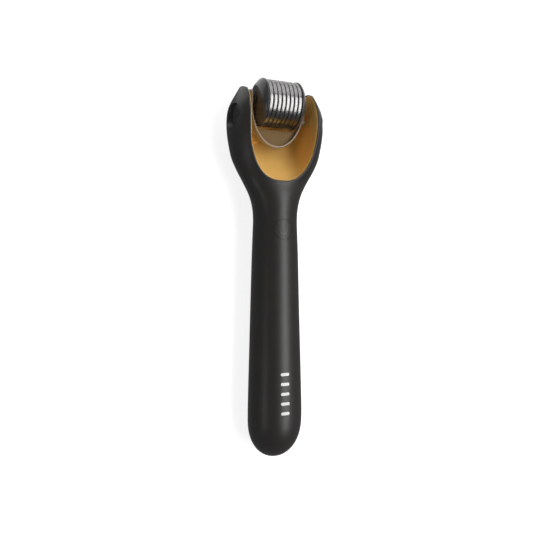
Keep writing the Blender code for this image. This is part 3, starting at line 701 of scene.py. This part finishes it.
def make_cradle_band(path, finish):
    bm = bmesh.new()
    rings = []
    for i, point in enumerate(path):
        ahead = Vector(path[min(i + 1, len(path) - 1)]) - Vector(path[max(i - 1, 0)])
        normal = Vector((-ahead.y, ahead.x)).normalized()
        low, high = cradle_edges(point[1])
        rings.append(band_section(point, normal, low, high))
    made = grid(bm, rings)
    for end in (0, -1):
        bm.faces.new(made[end][:-1])
    mesh = move_mesh(finished_mesh(bm, "gold_cradle"), (0, AXLE.y, AXLE.z))
    add_piece("gold_cradle", mesh, finish, "handle", "roller_cradle")


def make_cradle_web(path, web_shade_finish):
    """The web across the cradle's lower part, clear of the needles; its outer edge is bevelled."""
    edge = -TIP_RADIUS - WEB_CLEARANCE
    side_x = CRADLE_HALF_WIDTH * math.sqrt(1 - (edge / CRADLE_REACH) ** 2)
    web = [(side_x, edge)] + [(x, y) for x, y in path if y < edge] + [(-side_x, edge)]
    top, low = WEB_TOP, WEB_TOP - WEB_THICKNESS
    inner, outer = 0.985, 1.0
    outline = ((0.0, top), (inner, top), (outer, top - WEB_EDGE))
    outline += ((outer, low + WEB_EDGE), (inner, low), (0.0, low))
    rows = []
    for share, height in outline:
        rows.append([Vector((x * share, y * share + edge * (1 - share), height)) * MM for x, y in web])
    bm = bmesh.new()
    ends = grid(bm, rows)
    for end in (0, -1):
        bm.faces.new([ring[end] for ring in ends])
    mesh = move_mesh(finished_mesh(bm, "cradle_web", 30, 1e-6), (0, AXLE.y, AXLE.z))
    # The web's finish is painted shade: a darker copy of the cradle's champagne for the shade under the drum.
    add_piece("cradle_web", mesh, web_shade_finish, "handle")


def make_cradle(finish, web_shade_finish, axle_finish):
    """A U-shaped band with rounded edges, its web, its lugs and axle bosses, and the axle."""
    path = cradle_path()
    make_cradle_band(path, finish)
    make_cradle_web(path, web_shade_finish)
    lug = rounded(((0, 11.7), (1.2, 11.7), (1.2, 13.1), (0, 13.1)), 0.25)
    boss = rounded(((1.4, 12.2), (2.2, 12.2), (2.1, 12.7), (1.4, 12.7)), 0.15)
    for side, sign in (("left", -1), ("right", 1)):
        mesh = turned(side + "_cradle_lug", [(r, sign * x) for r, x in lug], 40)
        move_mesh(mesh, (0, RELEASE.y, AXLE.z - LUG_DROP))
        add_piece(side + "_cradle_lug", mesh, finish, "handle")
        mesh = turned(side + "_axle_boss", [(r, sign * x) for r, x in boss], 48)
        move_mesh(mesh, (0, AXLE.y, AXLE.z))
        add_piece(side + "_axle_boss", mesh, finish, "handle")
    pin = rounded(((0, -12.4), (1.25, -12.4), (1.25, 12.4), (0, 12.4)), 0.3)
    mesh = move_mesh(turned("polished_axle", pin, 48), (0, AXLE.y, AXLE.z))
    add_piece("polished_axle", mesh, axle_finish, "handle", "axle_pin")


# ---------------------------------------------------------------- release buttons

def make_release_cap(side, sign, finish, nose_finish):
    """A push button with a finger dish in its face, on a stem that ends in a gold nose."""
    face = RELEASE_FACE
    under = BUTTON_UNDERSIDE
    radius = BUTTON_RADIUS
    profile = [(0, STEM_END), (STEM_RADIUS, STEM_END), (STEM_RADIUS, under)]
    profile += [(radius - 0.15, under), (radius, under + 0.15), (radius, face - 0.35)]
    profile += [(radius - 0.1, face - 0.12), (radius - 0.3, face - 0.02), (DISH_RADIUS, face)]
    for r in (3.0, 2.5, 2.0, 1.5, 1.0, 0.5, 0.0):
        profile.append((r, face - DISH_DEPTH * (1 - (r / DISH_RADIUS) ** 2)))
    tip = [(0, NOSE_END), (STEM_RADIUS - 0.3, NOSE_END), (STEM_RADIUS, NOSE_END + 0.2)]
    tip += [(STEM_RADIUS, STEM_END), (0, STEM_END)]
    nose = turned(side + "_release_nose", [(r, sign * x) for r, x in tip], 48)
    move_mesh(nose, (0, RELEASE.y, RELEASE.z))
    add_piece(side + "_release_nose", nose, nose_finish, side + "_release")
    mesh = turned(side + "_release_cap", [(r, sign * x) for r, x in profile], 80, 45)
    move_mesh(mesh, (0, RELEASE.y, RELEASE.z))
    return add_piece(side + "_release_cap", mesh, finish, side + "_release", side + "_release_button")


# ---------------------------------------------------------------- materials

def new_material(name, color, roughness, metallic=0.0, **extra):
    """A plain material; extra values name the shader's inputs with _ for each space."""
    made = bpy.data.materials.new(name)
    made.use_nodes = True
    shader = made.node_tree.nodes["Principled BSDF"]
    shader.inputs["Base Color"].default_value = (*color, 1.0)
    shader.inputs["Roughness"].default_value = roughness
    shader.inputs["Metallic"].default_value = metallic
    for key, value in extra.items():
        shader.inputs[key.replace("_", " ")].default_value = value
    return made


def surface_detail(made, color, spread, roughness, rough_spread, scale, bump, stretch):
    """Adds noise to a material: colour and roughness vary a little, and the surface has a fine bump."""
    tree = made.node_tree
    shader = tree.nodes["Principled BSDF"]
    coordinates = tree.nodes.new("ShaderNodeTexCoord")
    mapping = tree.nodes.new("ShaderNodeMapping")
    mapping.inputs["Scale"].default_value = stretch
    tree.links.new(coordinates.outputs["Object"], mapping.inputs["Vector"])
    fine = tree.nodes.new("ShaderNodeTexNoise")
    fine.inputs["Scale"].default_value = scale
    fine.inputs["Detail"].default_value = 5.0
    tree.links.new(mapping.outputs["Vector"], fine.inputs["Vector"])
    broad = tree.nodes.new("ShaderNodeTexNoise")
    broad.inputs["Scale"].default_value = scale / 40
    broad.inputs["Detail"].default_value = 3.0
    tree.links.new(mapping.outputs["Vector"], broad.inputs["Vector"])

    ramp = tree.nodes.new("ShaderNodeValToRGB")
    dark, bright = ramp.color_ramp.elements
    dark.position = 0.3
    bright.position = 0.7
    dark.color = (*[c * (1 - spread) for c in color], 1)
    bright.color = (*[min(c * (1 + spread), 1) for c in color], 1)
    tree.links.new(broad.outputs["Fac"], ramp.inputs["Fac"])
    tree.links.new(ramp.outputs["Color"], shader.inputs["Base Color"])

    rough = tree.nodes.new("ShaderNodeMapRange")
    rough.inputs["To Min"].default_value = roughness - rough_spread
    rough.inputs["To Max"].default_value = roughness + rough_spread
    tree.links.new(fine.outputs["Fac"], rough.inputs["Value"])
    tree.links.new(rough.outputs["Result"], shader.inputs["Roughness"])

    raised = tree.nodes.new("ShaderNodeBump")
    raised.inputs["Strength"].default_value = bump
    raised.inputs["Distance"].default_value = 0.00003
    tree.links.new(fine.outputs["Fac"], raised.inputs["Height"])
    tree.links.new(raised.outputs["Normal"], shader.inputs["Normal"])
    return made


def detailed(name, color, roughness, metallic=0.0, spread=0.06, rough_spread=0.04, scale=4000.0, bump=0.15,
             stretch=(1, 1, 1), **extra):
    made = new_material(name, color, roughness, metallic, **extra)
    return surface_detail(made, color, spread, roughness, rough_spread, scale, bump, stretch)


SOFT_BLACK = detailed("soft_touch_black", (0.020, 0.018, 0.016), 0.40, bump=0.3, scale=5000.0,
                      Specular_IOR_Level=0.46, Sheen_Weight=0.06, Sheen_Roughness=0.3,
                      Sheen_Tint=(0.95, 0.8, 0.65, 1.0))
BUTTON_BLACK = detailed("button_black", (0.016, 0.0145, 0.013), 0.36, bump=0.12)
GOLD = detailed("satin_gold", (0.94, 0.59, 0.175), 0.48, 0.35, spread=0.05, rough_spread=0.05, bump=0.12)
CONTACT_GOLD = detailed("contact_gold", (0.80, 0.55, 0.22), 0.25, 1.0, bump=0.05)
CRADLE_GOLD = detailed("champagne_cradle", (0.28, 0.23, 0.17), 0.42, 0.4, bump=0.1)
# Painted shade: the cradle's web gets a darker, browner, less shiny copy of the cradle's champagne, standing
# in for the shade under the drum.
WEB_PAINTED_SHADE = detailed("painted_shade_champagne", (0.17, 0.10, 0.035), 0.6, 0.2, bump=0.1, Specular_IOR_Level=0.3)
STEEL = detailed("polished_steel", (0.21, 0.207, 0.203), 0.26, 1.0, rough_spread=0.06, scale=2500.0,
                 bump=0.08, stretch=(6, 1, 1))
PLAIN_STEEL = detailed("machined_steel", (0.55, 0.54, 0.52), 0.34, 1.0, rough_spread=0.08)
CAP_BLACK = detailed("gloss_black", (0.048, 0.047, 0.047), 0.24, spread=0.1, rough_spread=0.03, bump=0.04,
                     Specular_IOR_Level=0.35, Coat_Weight=0.12, Coat_Roughness=0.12)
WHITE_PLASTIC = detailed("white_plastic", (0.75, 0.74, 0.71), 0.42)
GREY_PLASTIC = detailed("grey_plastic", (0.2, 0.2, 0.21), 0.5)
BOARD_GREEN = detailed("board_green", (0.02, 0.16, 0.07), 0.4, spread=0.2)
CHIP_BLACK = detailed("chip_black", (0.02, 0.02, 0.02), 0.45)
RUBBER = detailed("grey_rubber", (0.08, 0.08, 0.085), 0.75, bump=0.4)
BATTERY_WRAP = detailed("battery_wrap", (0.05, 0.18, 0.42), 0.32)
NICKEL = detailed("nickel", (0.6, 0.58, 0.52), 0.3, 1.0)
PRINT_WHITE = detailed("print_white", (0.78, 0.78, 0.76), 0.5, bump=0.05)
MARK_GREY = detailed("mark_grey", (0.055, 0.050, 0.045), 0.36, bump=0.05)

# The pieces that keep their CAD meshes, by the material that they get
CARRIED = (
    (GOLD, ("left_liner_screw", "right_liner_screw")),
    (CAP_BLACK, ("left_thrust_washer", "right_thrust_washer", "drum_core")),
    (GREY_PLASTIC, ("inner_chassis",)),
    (BATTERY_WRAP, ("battery_cell",)),
    (NICKEL, ("battery_tab_negative", "battery_tab_positive", "eccentric_weight")),
    (BOARD_GREEN, ("circuit_board",)),
    (CHIP_BLACK, ("controller_chip", "charger_chip")),
    (WHITE_PLASTIC, ("tact_switch_plunger",)),
    (RUBBER, ("motor_sleeve",)),
    (CONTACT_GOLD, ("charge_contact_positive", "charge_contact_negative")),
    (PLAIN_STEEL, ("front_board_screw", "rear_board_screw", "tact_switch_base", "motor_can", "motor_shaft",
                   "left_button_spring", "right_button_spring")),
)


def finish_carried_nodes():
    for finish, names in CARRIED:
        for name in names:
            mesh = frame["nodes"][name].data
            mesh.materials.clear()
            mesh.materials.append(finish)


# ---------------------------------------------------------------- object

make_shell(SOFT_BLACK)
make_liner(GOLD)
make_power_cap(SOFT_BLACK)
make_power_mark(MARK_GREY)
make_size_bars(PRINT_WHITE)
for number in range(1, 9):
    make_disc("needle_disc_%d" % number, STEEL)
make_cradle(CRADLE_GOLD, WEB_PAINTED_SHADE, STEEL)
for side_name, side_sign in (("left", -1), ("right", 1)):
    make_cap(side_name, side_sign, CAP_BLACK)
    make_release_cap(side_name, side_sign, BUTTON_BLACK, GOLD)
finish_carried_nodes()


# ---------------------------------------------------------------- stage, light and camera

FLOOR_HALF = 6.0
BACKDROP_RADIUS = 5.8
BACKDROP_HEIGHT = 5.0


def stage_object(name, rows, finish):
    """A sheet of the stage through rows of points in metres."""
    bm = bmesh.new()
    grid(bm, rows)
    mesh = bpy.data.meshes.new(name)
    bm.to_mesh(mesh)
    bm.free()
    mesh.materials.append(finish)
    return linked(name, mesh)


def flat_sheet(name, low, high, height, finish):
    rows = [[(x, y, height) for x in (low[0], high[0])] for y in (low[1], high[1])]
    return stage_object(name, rows, finish)


def make_floor():
    """A pale floor and a pale wall that glow a little.

    Reflections show neither of them. They show a glowing sheet behind the head, which nothing else sees.
    """
    finish = new_material("pale_floor", (0.40, 0.40, 0.40), 0.85)
    shader = finish.node_tree.nodes["Principled BSDF"]
    shader.inputs["Emission Color"].default_value = (1, 1, 1, 1)
    shader.inputs["Emission Strength"].default_value = 0.85
    floor = flat_sheet("floor", (-FLOOR_HALF, -FLOOR_HALF), (FLOOR_HALF, FLOOR_HALF), 0, finish)
    floor.visible_glossy = False
    glow = flat_sheet("floor_glow", (-0.3, 0.085), (0.3, 0.8), 0.0005, finish)
    glow.visible_camera = False
    glow.visible_diffuse = False
    glow.visible_shadow = False
    around = circle(BACKDROP_RADIUS, 48)
    rows = [[(x, y, z) for x, y in around] for z in (0, BACKDROP_HEIGHT)]
    backdrop = stage_object("backdrop", rows, finish)
    backdrop.visible_glossy = False
    backdrop.visible_diffuse = False
    backdrop.visible_shadow = False


def area_light(name, spot, aim, size, power):
    """A soft box whose first side lies across the handle and whose second side lies along it."""
    data = bpy.data.lights.new(name, "AREA")
    data.shape = "RECTANGLE"
    data.size, data.size_y = size
    data.energy = power
    light = linked(name, data)
    back = (Vector(spot) - Vector(aim)).normalized()
    across = Vector((0, 1, 0)).cross(back).normalized()
    turn = Matrix((across, back.cross(across), back)).transposed().to_4x4()
    light.matrix_world = Matrix.Translation(spot) @ turn


def make_lights():
    head = (0, 0.055, 0.012)
    handle = (0, -0.045, 0.01)
    area_light("key", (0.38, -0.045, 0.80), handle, (0.42, 1.11), 7.6)
    area_light("top", (0.30, 0.78, 0.36), head, (1.0, 0.70), 3.8)
    area_light("left_fill", (-0.75, -0.28, 0.36), head, (0.12, 0.30), 0.4)
    world = bpy.data.worlds.new("studio")
    world.use_nodes = True
    world.node_tree.nodes["Background"].inputs["Color"].default_value = (0.9, 0.95, 1.0, 1.0)
    world.node_tree.nodes["Background"].inputs["Strength"].default_value = 0.15
    bpy.context.scene.world = world


CAMERA_SWING = 22.0
CAMERA_DISTANCE = 224.0
CAMERA_STATION = 81.61
CAMERA_HEIGHT = 10.2
CAMERA_SIDESTEP = 3.0


def make_camera():
    """A camera to the object's left of straight in front, with the object upright in the frame."""
    swing = math.radians(CAMERA_SWING)
    back = Vector((-math.sin(swing), 0, math.cos(swing)))
    right = Vector((math.cos(swing), 0, math.sin(swing)))
    target = Vector((0, CAMERA_STATION - HALF, CAMERA_HEIGHT)) - right * CAMERA_SIDESTEP
    data = bpy.data.cameras.new("camera")
    data.lens = 35.0
    data.sensor_width = 36.0
    camera = linked("camera", data)
    turn = Matrix((right, Vector((0, 1, 0)), back)).transposed().to_4x4()
    camera.matrix_world = Matrix.Translation((target + back * CAMERA_DISTANCE) * MM) @ turn
    bpy.context.scene.camera = camera


make_floor()
make_lights()
make_camera()
bpy.context.scene.view_settings.view_transform = "Standard"
